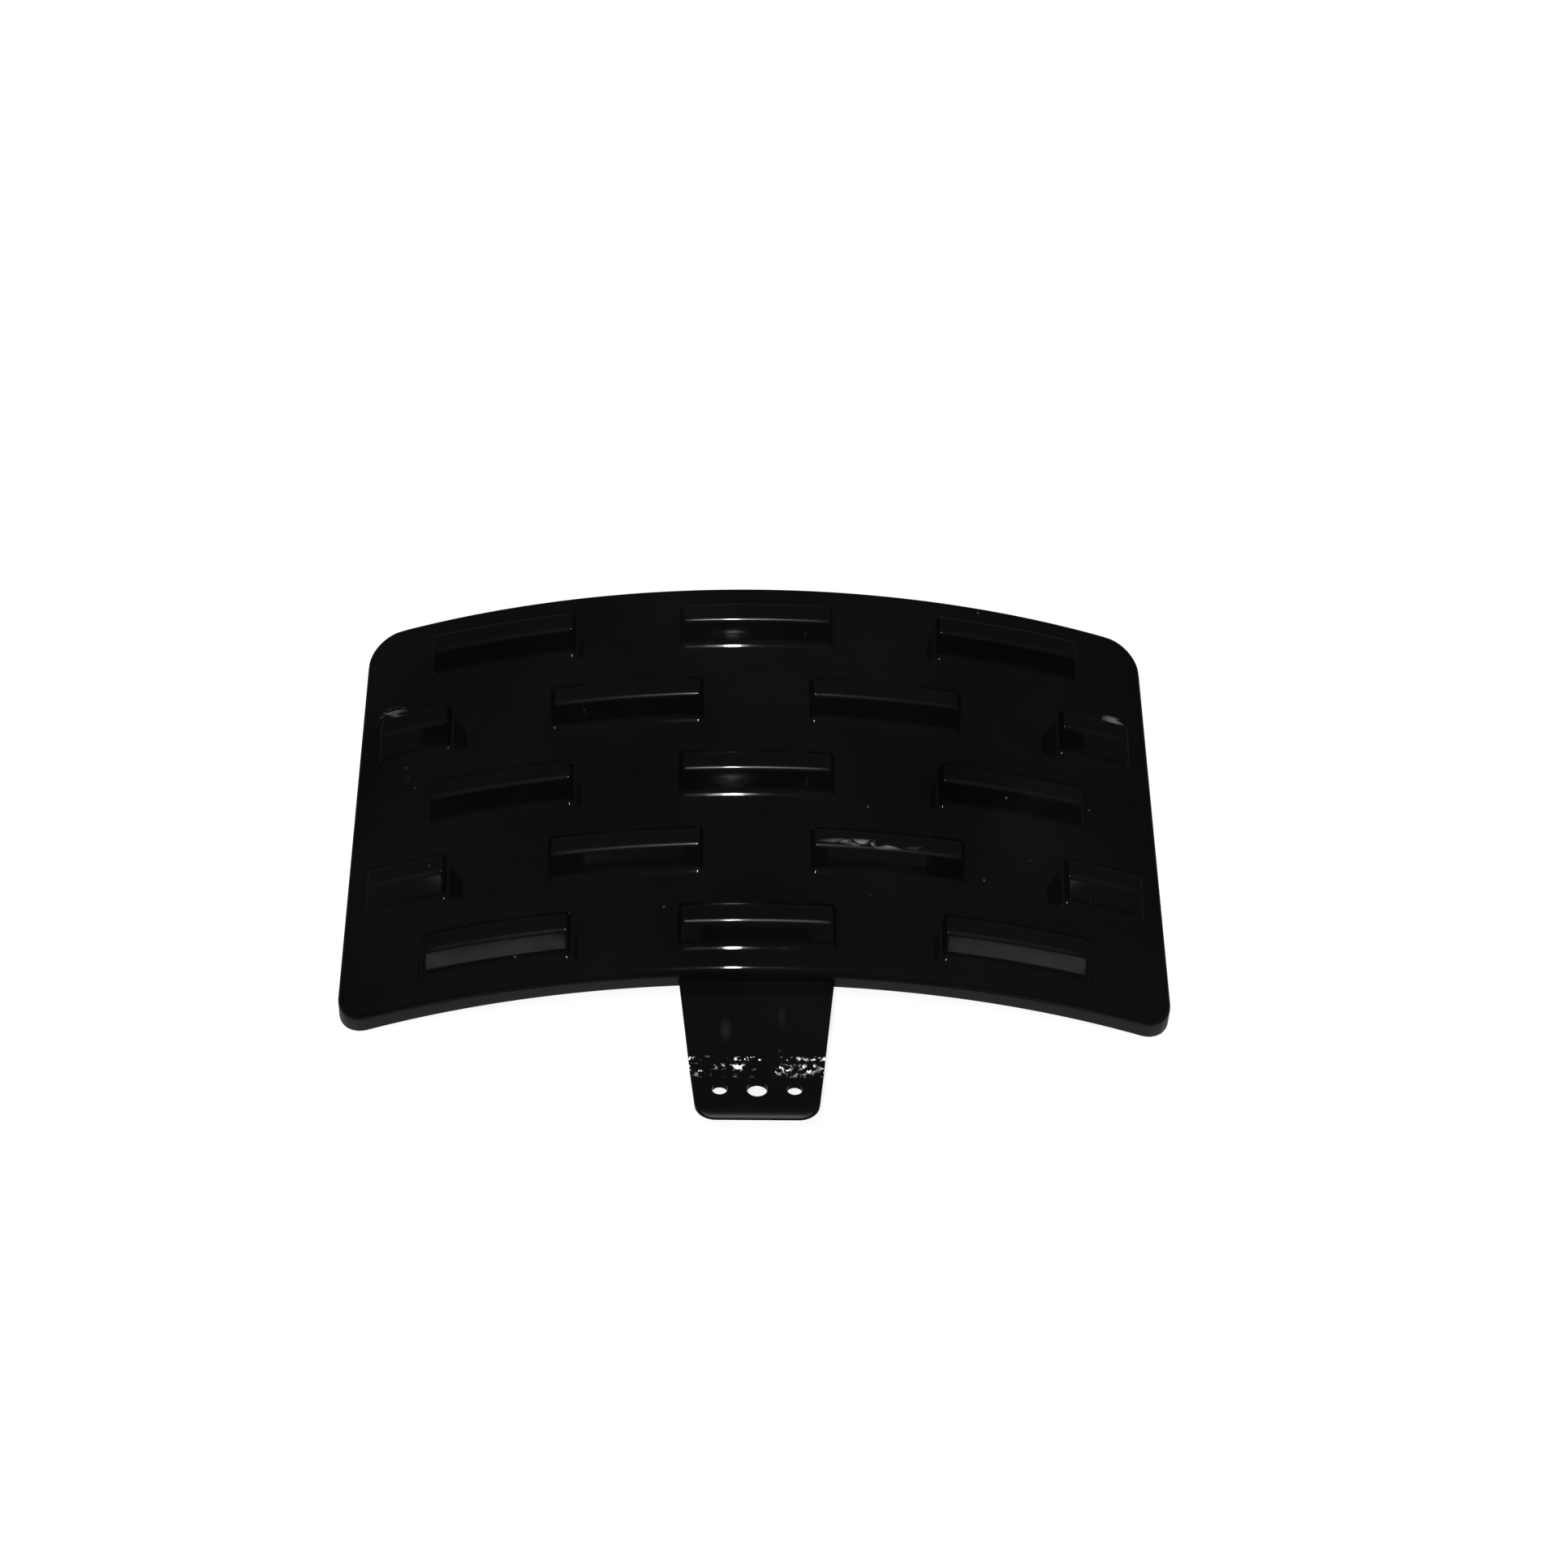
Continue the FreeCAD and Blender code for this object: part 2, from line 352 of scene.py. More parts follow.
def outward(plan):
    """Plan normal at each point of a loop: across the mean direction of its two neighbours."""
    ahead = np.roll(plan, -1, axis=0) - plan
    ahead /= np.linalg.norm(ahead, axis=1, keepdims=True)
    mean = ahead + np.roll(ahead, 1, axis=0)
    mean /= np.linalg.norm(mean, axis=1, keepdims=True)
    return np.stack([mean[:, 1], -mean[:, 0], 0 * mean[:, 0]], axis=1)


def rim_round_rings(plan, radius, shares):
    """Rings of the rounding: middle + radius * (sin((1-t)w) off + sin(t w) out) / sin(w).

    The angle w lies between the direction off the face and the direction out of the lip.
    """
    lift = np.sqrt(rim_middle_radius ** 2 - plan[:, 0] ** 2)
    middle = np.stack([plan[:, 0], plan[:, 1], lift - crown_radius], axis=1)
    off = np.stack([plan[:, 0], 0 * lift, lift], axis=1) / rim_middle_radius
    out = outward(plan)
    w = np.arccos(np.sum(off * out, axis=1))[:, None]
    return [middle + radius * (np.sin((1 - t) * w) * off + np.sin(t * w) * out) / np.sin(w)
            for t in shares]


def lip_ring(plan, reach, rise):
    """A ring of the lip's foot: reach out of the middle line and rise over the curved lower edge."""
    place = np.concatenate([plan, 0 * plan[:, :1]], axis=1) + reach * outward(plan)
    place[:, 2] = np.sqrt(lip_foot_radius ** 2 - place[:, 0] ** 2) - crown_radius + rise
    return place


def lip_edge_rings(plan, reach, inward, turns):
    """Rings of a rounded edge at the lip's foot: a quarter arc of lip_edge beside a reach."""
    return [lip_ring(plan, reach + inward * lip_edge * (1 - np.cos(t)), lip_edge * (1 - np.sin(t)))
            for t in turns]


lip_edge, lip_guard = 0.5, 0.4
round_steps, inner_steps = 9, 4
outer_loop, inner_loop = round_loop(face_plan), round_loop(back_plan)
inner_r = rim_round - wall
foot_turns = np.radians([0, 30, 60, 90])
rings = rim_round_rings(outer_loop, rim_round, np.arange(1, round_steps + 1) / round_steps)
rings += [lip_ring(outer_loop, rim_round, lip_edge + lip_guard)]
rings += lip_edge_rings(outer_loop, rim_round, -1, foot_turns)
inner_rings = lip_edge_rings(inner_loop, inner_r, 1, foot_turns[::-1])
inner_rings += rim_round_rings(inner_loop, inner_r, np.arange(inner_steps, 0, -1) / inner_steps)
print("rings outside", len(rings), "inside", len(inner_rings), "points", len(outer_loop), len(inner_loop))

# %% [markdown]
# The underside has fewer lines than the face, so the two meet under the lip, where a flat strip
# joins a ring of many points to a ring of few. Walking round both rings together, each point that
# is passed adds one triangle.

# %% Join face, rim and underside into one closed shell
def grid_quads(first, rows, columns):
    """Four-sided faces of a grid whose points are numbered row by row from a first number."""
    n = first + np.arange(rows * columns).reshape(rows, columns)
    return np.stack([n[:-1, :-1], n[1:, :-1], n[1:, 1:], n[:-1, 1:]], axis=-1).reshape(-1, 4)


def band_quads(loops):
    """Faces between each closed loop of point numbers and the next."""
    pairs = zip(loops[:-1], loops[1:])
    return np.concatenate([np.stack([a, b, np.roll(b, -1), np.roll(a, -1)], axis=-1) for a, b in pairs])


def way_round(plan):
    """Share of the way round a closed loop at each of its points."""
    steps = np.linalg.norm(np.roll(plan, -1, axis=0) - plan, axis=1)
    return (np.cumsum(steps) - steps) / steps.sum()


def joined_loops(upper, lower, upper_way, lower_way):
    """Triangles between two closed loops: each passed point, its forerunner and the other loop's last."""
    order = np.argsort(np.concatenate([upper_way, lower_way]), kind="stable")
    from_upper = order < len(upper)
    i, j = np.cumsum(from_upper) - 1, np.cumsum(~from_upper) - 1
    first = np.where(from_upper, upper[i - 1], upper[i])
    second = np.where(from_upper, lower[j], lower[j - 1])
    third = np.where(from_upper, upper[i], lower[j])
    return np.stack([first, second, third], axis=-1)


sheets = [face.reshape(-1, 3)] + rings + inner_rings + [back.reshape(-1, 3)]
shell_points = np.concatenate(sheets)
firsts = np.cumsum([0] + [len(sheet) for sheet in sheets])
loops = [first + np.arange(len(sheet)) for first, sheet in zip(firsts, sheets)]
loops[0] = round_loop(np.arange(face[..., 0].size).reshape(face.shape[:2]))
loops[-1] = firsts[-2] + round_loop(np.arange(back[..., 0].size).reshape(back.shape[:2]))
split = len(rings) + 1
shell_quads = np.concatenate([
    grid_quads(0, *face.shape[:2]), grid_quads(firsts[-2], *back.shape[:2])[:, ::-1],
    band_quads(loops[:split]), band_quads(loops[split:]),
])
shell_strip = joined_loops(loops[split - 1], loops[split], way_round(outer_loop), way_round(inner_loop))
print("shell", len(shell_points), "points", 2 * len(shell_quads) + len(shell_strip), "triangles")

# %% [markdown]
# ## The mounting tab
# A flat tongue leaves the foot of the near lip, narrows, and ends in a foot that is bent up by
# fourteen degrees and drilled with three holes. It is drawn flat first, as a sheet-metal pattern
# would be, and then bent: every place has a distance across, one along and one down into the plate.

# %% The tab's flat pattern and its bend
tab_root_half, tab_end_half = 63.0 / 2, 48.5 / 2
tab_run, foot_length, foot_rise = 40.0, 26.8, np.radians(14.0)
tab_thickness, bend_radius = 3.0, 5.0
tip_corner, tab_edge = 7.5, 0.8
tip_roll, roll_length = 2.2, 5.0
hole_from_end, hole_offset = 15.3, 15.0
cell_to_bend, cell_to_tip = 7.5, 6.5
tab_top, root_y = tab_thickness - rim_depth, near_y + wall / 2
tip_y = near_y - tab_run - foot_length * np.cos(foot_rise)
bend_reach = bend_radius * np.tan(foot_rise / 2)
bend_start = root_y - near_y + tab_run - bend_reach
bend_end = bend_start + bend_radius * foot_rise
tab_end = bend_end + foot_length - bend_reach
hole_v = tab_end - hole_from_end
cell_from, cell_to = hole_v - cell_to_bend, hole_v + cell_to_tip


def bent(u, v, w):
    """Bends the pattern: a straight run, an arc of bend_radius over its upper side, then the foot.

    Across stays across. On the arc the place is the arc's middle plus (radius + depth) times the
    turned direction down; the end face is sheared so that it stands upright. Over the last few
    millimetres the upper side rolls down by a square law.
    """
    rolled = np.clip((v - tab_end + roll_length) / roll_length, 0, 1) ** 2
    w = w + (1 - w / tab_thickness) * tip_roll * rolled
    v = v - w * np.tan(foot_rise) * np.clip((v - cell_to) / (tab_end - cell_to), 0, 1)
    turn = np.clip((v - bend_start) / bend_radius, 0, foot_rise)
    straight, past = np.minimum(v, bend_start), np.clip(v - bend_end, 0, None)
    y = root_y - straight - (bend_radius + w) * np.sin(turn) - past * np.cos(turn)
    z = tab_top + bend_radius - (bend_radius + w) * np.cos(turn) + past * np.sin(turn)
    return np.stack(np.broadcast_arrays(u, y, z), axis=-1)


def tab_half(v):
    """Half width of the pattern less its edge rounding, even taper in plan from root to tip."""
    y = bent(0 * v, v, 0 * v)[..., 1]
    return tab_end_half + (tab_root_half - tab_end_half) * (y - tip_y) / (root_y - tip_y) - tab_edge


print("pattern", round(tab_end, 2), "mm long, bend from", round(bend_start, 2), "to", round(bend_end, 2))

# %% [markdown]
# Three round holes in a four-sided grid need care: each hole gets a cell of its own, and rings run
# from the circle out to the cell's straight sides. The cells share their side points with the
# strips before and behind them, so the whole plate closes once doubled points are merged.

# %% Lines of the tab's flat
cell_steps = 8


def span_lines(v):
    """Places across the pattern at v: even steps in each of the three spans that the cells have."""
    share = np.linspace(0, 1, cell_steps + 1)
    side = tab_half(v)[:, None]
    left = -side + (side - hole_offset / 2) * share
    inner = hole_offset * (share[None, :] - 0.5) + 0 * side
    return np.concatenate([left[:, :-1], inner, -left[:, -2::-1]], axis=1)


def tip_corners(u, v):
    """Rounds the two corners at the tip, by the same square-to-disc rule as on the panel."""
    radius, end = tip_corner - tab_edge, tab_end - tab_edge
    inside, a, b = square_to_disc(1 - (tab_half(v) - np.abs(u)) / radius, 1 - (end - v) / radius)
    new_v = end - radius * (1 - b)
    new_u = np.sign(u) * (tab_half(new_v) - radius * (1 - a))
    return np.where(inside, new_u, u), np.where(inside, new_v, v)


def strip(v_lines):
    """A strip of the pattern between its sides."""
    u = span_lines(v_lines)
    return tip_corners(u, v_lines[:, None] + 0 * u)


cell_lines = np.linspace(cell_from, cell_to, cell_steps + 1)
print("lines across the tab", span_lines(cell_lines).shape[1], "through each cell", len(cell_lines))

# %% Patches of the tab's flat
def cell_border(grid):
    """The border of a cell's grid as one way round that ends at its first point."""
    return np.concatenate([grid[0, :-1], grid[:-1, -1], grid[-1, :0:-1], grid[:0:-1, 0], grid[0, :1]])


def hole_cell(number, radius):
    """Rings of one cell: circle + share * (side - circle), from the hole's edge to the cell's sides."""
    first = cell_steps * number
    spans = span_lines(cell_lines)[:, first:first + cell_steps + 1]
    u, v = cell_border(spans), cell_border(cell_lines[:, None] + 0 * spans)
    centre = hole_offset * (number - 1)
    angle = np.arctan2(v - hole_v, u - centre)
    share = np.array([0, 0.12, 0.4, 0.7, 1.0])[:, None]
    ring_u, ring_v = centre + radius * np.cos(angle), hole_v + radius * np.sin(angle)
    return ring_u + share * (u - ring_u), ring_v + share * (v - ring_v)


hole_edge = 0.06
hole_radii = [3.2, 4.2, 3.2]
bend_lines = np.linspace(bend_start, bend_end, 7)
run_lines = np.concatenate([[0, 1.0, 1.5, 6, 14, 24, 33, bend_start - 2.0, bend_start - 0.4], bend_lines,
                            [bend_end + 0.4, bend_end + 2.0, cell_from]])
tip_lines = np.concatenate([[cell_to], tab_end - tab_edge - np.array([5.2, 3.6, 2.2, 1.0, 0.3, 0.0])])
cells = [hole_cell(number, radius + hole_edge) for number, radius in enumerate(hole_radii)]
flats = [strip(run_lines), strip(tip_lines)] + cells
print("patches of the tab's flat", len(flats), "rows before the holes", len(run_lines))

# %% [markdown]
# The plate's outer edge is rounded above and below, as a mould leaves it, while the holes are drilled
# and keep almost sharp edges. Both are one profile that is carried along a border: out over a quarter
# arc, down the wall and back over a second arc. The end inside the lip is closed with a flat strip.

# %% Edges of the tab and walls of its holes
def edge_profile(radius):
    """Reach out and depth of a rounded plate edge: a quarter arc, the wall and a quarter arc."""
    t = np.radians(np.linspace(0, 90, 5))
    reach = radius * np.concatenate([np.sin(t), np.sin(t[::-1])])
    depth = np.concatenate([radius * (1 - np.cos(t)), tab_thickness - radius * (1 - np.cos(t[::-1]))])
    return reach[:, None], depth[:, None]


side_run = np.concatenate([run_lines, cell_lines[1:-1]])
end_u, end_v = strip(tip_lines)
left_u = np.concatenate([-tab_half(side_run), end_u[:, 0]])
left_v = np.concatenate([side_run, end_v[:, 0]])
border_u = np.concatenate([left_u, end_u[-1, 1:-1], -left_u[::-1]])
border_v = np.concatenate([left_v, end_v[-1, 1:-1], left_v[::-1]])
ahead = np.stack([np.diff(border_u), np.diff(border_v)], axis=1)
ahead /= np.linalg.norm(ahead, axis=1, keepdims=True)
mean = np.vstack([ahead[:1], ahead[:-1] + ahead[1:], ahead[-1:]])
mean /= np.linalg.norm(mean, axis=1, keepdims=True)
reach, depth = edge_profile(tab_edge)
tab_border = bent(border_u - reach * mean[:, 1], border_v + reach * mean[:, 0], depth + 0 * border_u)
patches = [tab_border] + [bent(u, v, w + 0 * u) for u, v in flats for w in (0.0, tab_thickness)]
reach, depth = edge_profile(hole_edge)
for number, ((u, v), radius) in enumerate(zip(cells, hole_radii)):
    centre = hole_offset * (number - 1)
    shrink = (radius + hole_edge - reach) / (radius + hole_edge)
    wall_u, wall_v = centre + shrink * (u[0] - centre), hole_v + shrink * (v[0] - hole_v)
    patches.append(bent(wall_u, wall_v, depth + 0 * u[0]))
root_u = span_lines(np.array([0.0]))[0]
patches.append(bent(root_u, 0 * root_u, np.array([[0.0], [tab_thickness]]) + 0 * root_u))
print("patches of the tab", len(patches))

# %% [markdown]
# ## Set the moulding down
# The tapered panel lies on its two side rims, so it leans by a degree and a half. The same turn and
# shift that set the solid down are worked out here from the widths: the far corners, which are closer
# together, would hang higher by the difference of two arc heights.

# %% From the mould's frame to the shared frame
lean = np.arctan((np.sqrt(lip_foot_radius ** 2 - (far_width / 2) ** 2)
                  - np.sqrt(lip_foot_radius ** 2 - (near_width / 2) ** 2)) / panel_length)
lean_turn = np.array([[1, 0, 0], [0, np.cos(lean), np.sin(lean)], [0, -np.sin(lean), np.cos(lean)]])
every_point = np.concatenate([shell_points] + [p.reshape(-1, 3) for p in patches]) @ lean_turn.T
low, high = every_point.min(axis=0), every_point.max(axis=0)
set_down = -np.array([(low[0] + high[0]) / 2, (low[1] + high[1]) / 2, low[2]])


def seated(points):
    """Millimetres of the mould's frame to metres of the shared frame: lean, shift and scale."""
    return (points @ lean_turn.T + set_down) / 1000


print("lean", round(float(np.degrees(lean)), 2), "degrees, shift", np.round(set_down, 2), "mm")

# %% [markdown]
# The tab's patches are merged into a closed shell and put beside the panel's shell. Both are one
# mesh, because the real part comes out of one mould. A join of the two shells would cut their clean
# grids into slivers, so the tab's root simply ends inside the lip.

# %% One mesh for the whole moulding
def mesh_of(name, points, *face_tables):
    """A mesh from an array of points and tables of faces, each table with its own number of sides."""
    mesh = bpy.data.meshes.new(name)
    mesh.vertices.add(len(points))
    mesh.vertices.foreach_set("co", np.ascontiguousarray(points, dtype=np.float32).ravel())
    corners = np.concatenate([table.ravel() for table in face_tables]).astype(np.int32)
    sides = np.concatenate([np.full(len(table), table.shape[1]) for table in face_tables])
    mesh.loops.add(len(corners))
    mesh.loops.foreach_set("vertex_index", corners)
    mesh.polygons.add(len(sides))
    mesh.polygons.foreach_set("loop_start", (np.cumsum(sides) - sides).astype(np.int32))
    mesh.update(calc_edges=True)
    return mesh


weld = 2e-6
patch_firsts = np.cumsum([0] + [p.shape[0] * p.shape[1] for p in patches])
tab_points = np.concatenate([p.reshape(-1, 3) for p in patches])
tab_faces = np.concatenate([grid_quads(n, *p.shape[:2]) for n, p in zip(patch_firsts, patches)])
tab_mesh = mesh_of("tab_shell", seated(tab_points), tab_faces)
panel_mesh = mesh_of("panel_shell", seated(shell_points), shell_quads, shell_strip)
whole = bmesh.new()
whole.from_mesh(tab_mesh)
bmesh.ops.remove_doubles(whole, verts=whole.verts, dist=weld)
bmesh.ops.holes_fill(whole, edges=[e for e in whole.edges if e.is_boundary], sides=0)
bmesh.ops.recalc_face_normals(whole, faces=whole.faces)
open_edges = sum(1 for e in whole.edges if not e.is_manifold)
whole.from_mesh(panel_mesh)
moulding_mesh = bpy.data.meshes.new("trim_moulding")
whole.to_mesh(moulding_mesh)
whole.free()
bpy.data.meshes.remove(tab_mesh)
bpy.data.meshes.remove(panel_mesh)
moulding_mesh.polygons.foreach_set("use_smooth", np.ones(len(moulding_mesh.polygons), dtype=bool))
moulding = bpy.data.objects.new("trim_moulding", moulding_mesh)
bpy.context.scene.collection.objects.link(moulding)
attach(moulding, "root")
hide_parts("front_panel_trim")
moulding_mesh.calc_loop_triangles()
print("moulding", len(moulding_mesh.loop_triangles), "triangles, open edges on the tab", open_edges)

# %% [markdown]
# The rounded top edges of the bars are marked on the mesh, since wear shows there first. The finish
# could look for sharp bends itself, but the heights of the bars are known here, so the mark is exact:
# it fades out below the edge, on the flat top, at the bars' ends and towards the far rows.

# %% Mark the worn top edges
edge_depth, edge_fade, flat_fade = 1.5, 0.5, 0.05
end_clearance, far_share = 1.5, 0.5


def from_ends(x, y):
    """Distance of a place from the nearer end of the bar that it lies on; 0 or less off the bars."""
    gaps = [np.where(np.abs(y - front - bar_depth / 2) < bar_depth / 2, inside_ends(x, row), 0)
            for row, front in enumerate(row_fronts)]
    return np.max(gaps, axis=0)


on_edge = np.clip((face_h - bar_height + edge_depth) / edge_fade, 0, 1)
on_edge *= np.clip((bar_height - face_h) / flat_fade, 0, 1)
on_edge *= np.clip(from_ends(face_x, face_y[None, :] + 0 * face_x) - end_clearance, 0, 1)
on_edge *= np.interp(face_y, [row_fronts[-1], row_fronts[0]], [1.0, far_share])[None, :]
worn = np.zeros(len(moulding_mesh.vertices), dtype=np.float32)
panel_first = len(worn) - len(shell_points)
worn[panel_first:panel_first + on_edge.size] = on_edge.ravel()
moulding_mesh.attributes.new("top_edge", "FLOAT", "POINT").data.foreach_set("value", worn)
print("marked points", int((worn > 0).sum()))

# %% [markdown]
# ## Gloss black plastic
# The part is moulded in black plastic with a high shine. Almost all that can be seen of it is what
# it mirrors, so the finish is a near-black base with a very smooth surface. A painted image would
# need an unwrapped mesh, so patterns over the part's own coordinates are used instead. Short helpers
# make a node and wire it in one line.

# %% Helpers for the materials
def feed(material, socket, value):
    """Sets a socket to a plain value, or wires another node's socket to it."""
    if isinstance(value, (float, tuple)):
        socket.default_value = value
    else:
        material.node_tree.links.new(value, socket)


def shader(material, kind, **inputs):
    """Adds a node to a material and feeds its sockets by name."""
    node = material.node_tree.nodes.new(kind)
    for name, value in inputs.items():
        feed(material, node.inputs[name.replace("_", " ")], value)
    return node


def ramp(material, source, stops):
    """A grey ramp over a source: pairs of place and value, with straight lines between them."""
    node = shader(material, "ShaderNodeValToRGB", Fac=source)
    elements = node.color_ramp.elements
    while len(elements) < len(stops):
        elements.new(0.5)
    for element, (at, value) in zip(elements, stops):
        element.position, element.color = at, (value, value, value, 1)
    return node.outputs["Color"]


def scaled(material, source, low, high, start=0.0, end=1.0):
    """A value mapped so that low becomes the start and high the end, and held there beyond them."""
    node = shader(material, "ShaderNodeMapRange", Value=source, From_Min=low, From_Max=high,
                  To_Min=start, To_Max=end)
    return node.outputs["Result"]


def reckoned(material, operation, *values):
    """The result of one step of arithmetic on values."""
    node = shader(material, "ShaderNodeMath")
    node.operation = operation
    for socket, value in zip(node.inputs, values):
        feed(material, socket, value)
    return node.outputs["Value"]


def product(material, first, second):
    """Two values multiplied."""
    return reckoned(material, "MULTIPLY", first, second)


def drawn_to(material, share, value, target):
    """A value drawn towards a plain number: value + share * (target - value)."""
    return shader(material, "ShaderNodeMix", Factor=share, A=value, B=target).outputs["Result"]


def tinted(material, share, under, over):
    """A colour between two: under + share * (over - under)."""
    node = shader(material, "ShaderNodeMix")
    node.data_type = "RGBA"
    for socket, value in zip((node.inputs[0], node.inputs[6], node.inputs[7]), (share, under, over)):
        feed(material, socket, value)
    return node.outputs[2]


gloss = bpy.data.materials.new("gloss_black_plastic")
gloss.use_nodes = True
gloss.node_tree.nodes.clear()
surface = shader(gloss, "ShaderNodeBsdfPrincipled", IOR=1.5, Coat_Roughness=0.06)
shader(gloss, "ShaderNodeOutputMaterial", Surface=surface.outputs["BSDF"])
place = shader(gloss, "ShaderNodeTexCoord").outputs["Object"]
axes = shader(gloss, "ShaderNodeSeparateXYZ", Vector=place)
print("nodes to start with", [node.name for node in gloss.node_tree.nodes])

# %% [markdown]
# Handling leaves dull smears in the shine. The bars' top edges are rubbed dull under what is left of
# it, and so is the tip of the tab. No cloth gets into the corner where the tab leaves the lip, so it
# stays matt and mirrors less. Each is a mask over the part that draws the roughness to a value of
# its own.

# %% How smooth the plastic is
corner_reach, corner_lap, corner_side = 0.008, 0.0004, 0.001
tip_reach, tip_fade = 0.0065, 0.002


def on_tab(across, along, depth=0.0):
    """A place in the tab by its flat pattern, in metres: bent and seated like the mesh."""
    return seated(bent(np.array(across), np.array(along), np.array(depth)))


smears = shader(gloss, "ShaderNodeTexNoise", Vector=place, Scale=38.0, Detail=4.0, Roughness=0.6)
smeared = scaled(gloss, smears.outputs["Fac"], 0.35, 0.75, 0.05, 0.13)
edge = shader(gloss, "ShaderNodeAttribute")
edge.attribute_name = "top_edge"
root_m, tip_m = seated(np.array([0.0, near_y, tab_top]))[1], on_tab(0.0, tab_end)[1]
root_side = tab_root_half / 1000
at_root = ramp(gloss, scaled(gloss, axes.outputs["Y"], root_m - corner_reach, root_m + corner_lap),
               [(0.0, 0.0), (0.4, 1.0), (0.95, 1.0), (1.0, 0.0)])
off_middle = reckoned(gloss, "ABSOLUTE", axes.outputs["X"])
in_corner = product(gloss, at_root, scaled(gloss, off_middle, root_side + corner_side, root_side))
at_tip = scaled(gloss, axes.outputs["Y"], tip_m + tip_reach, tip_m + tip_reach - tip_fade)
dulled = reckoned(gloss, "MAXIMUM", edge.outputs["Fac"], in_corner)
roughness = drawn_to(gloss, at_tip, drawn_to(gloss, dulled, smeared, 0.36), 0.4)
feed(gloss, surface.inputs["Roughness"], roughness)
feed(gloss, surface.inputs["Specular IOR Level"], scaled(gloss, in_corner, 0.0, 1.0, 0.5, 0.1))
feed(gloss, surface.inputs["Coat Weight"], edge.outputs["Fac"])
print("tab from y", round(float(root_m), 4), "to", round(float(tip_m), 4), "m")

# %% [markdown]
# Under the shine the black is a little cloudy, and a few specks of dust lie on it. A speck is the
# middle of a cell in a pattern of cells, and only cells with a high random number have one.

# %% Cloudy black and dust
clouds = shader(gloss, "ShaderNodeTexNoise", Vector=place, Scale=16.0, Detail=3.0, Roughness=0.55)
cloudy = tinted(gloss, scaled(gloss, clouds.outputs["Fac"], 0.3, 0.7),
                (0.0062, 0.0062, 0.0064, 1), (0.0148, 0.0144, 0.0155, 1))
dust = shader(gloss, "ShaderNodeTexVoronoi", Vector=place, Scale=85.0, Randomness=1.0)
dust_number = shader(gloss, "ShaderNodeSeparateColor", Color=dust.outputs["Color"]).outputs["Red"]
dust_mask = product(gloss, scaled(gloss, dust.outputs["Distance"], 0.06, 0.025),
                    scaled(gloss, dust_number, 0.55, 0.7))
dusty = tinted(gloss, dust_mask, cloudy, (0.25, 0.25, 0.25, 1))
print("nodes up to the dust", len(gloss.node_tree.nodes))

# %% [markdown]
# Three pale patches are painted reflections: grey tints that stand in for bright things mirrored in
# the gloss, a wavy one on the bar right of the middle and one behind each outer end of the second
# row. Each is a soft oval around a place on the part, broken up by streaks. Two faint pale marks on
# the flat of the tab are ovals without streaks, in the same grey.

# %% Painted reflections and marks
oval_height = 8.0


def on_face(row, across, along, height):
    """A place at a height over the curved face, across the panel and along it from a row's front."""
    top = np.sqrt((crown_radius + height) ** 2 - across ** 2) - crown_radius
    return seated(np.array([across, row_fronts[row] + along, top]))


def pale_oval(middle, half_length, half_depth):
    """A soft oval around a place: 1 - (distance from its middle, measured in its half sizes)."""
    size = np.array([half_length, half_depth, oval_height]) / 1000
    oval = shader(gloss, "ShaderNodeMapping", Vector=place,
                  Location=tuple(-middle / size), Scale=tuple(1 / size))
    distance = shader(gloss, "ShaderNodeVectorMath")
    distance.operation = "LENGTH"
    feed(gloss, distance.inputs[0], oval.outputs["Vector"])
    return scaled(gloss, distance.outputs["Value"], 1.0, 0.3)


lengthened = shader(gloss, "ShaderNodeMapping", Vector=place, Scale=(1.0, 3.0, 1.0))
streaks = shader(gloss, "ShaderNodeTexNoise", Vector=lengthened.outputs["Vector"],
                 Scale=120.0, Detail=2.0, Distortion=0.8)
on_bar = pale_oval(on_face(3, 47.0, 7.6, bar_height), 24.0, 2.2)
at_left = pale_oval(on_face(1, -152.0, 23.0, 0.0), 6.5, 4.0)
at_right = pale_oval(on_face(1, 151.0, 22.5, 0.0), 5.5, 3.0)
painted_reflections = reckoned(gloss, "ADD", reckoned(gloss, "ADD", on_bar, at_left), at_right)
streaked = product(gloss, painted_reflections, scaled(gloss, streaks.outputs["Fac"], 0.47, 0.6))
left_mark, right_mark = pale_oval(on_tab(-12.5, 24.0), 2.8, 6.5), pale_oval(on_tab(10.0, 18.0), 2.0, 6.0)
marks = reckoned(gloss, "MULTIPLY_ADD", right_mark, 0.6, left_mark)
reflection_and_mark_mask = reckoned(gloss, "MULTIPLY_ADD", marks, 0.05, streaked)
# Painted reflection: the pale grey on the bars stands in for mirrored light; the tab's marks share it.
with_painted_reflections = tinted(gloss, reflection_and_mark_mask, dusty, (0.65, 0.65, 0.65, 1))
print("nodes up to the scuffs", len(gloss.node_tree.nodes))
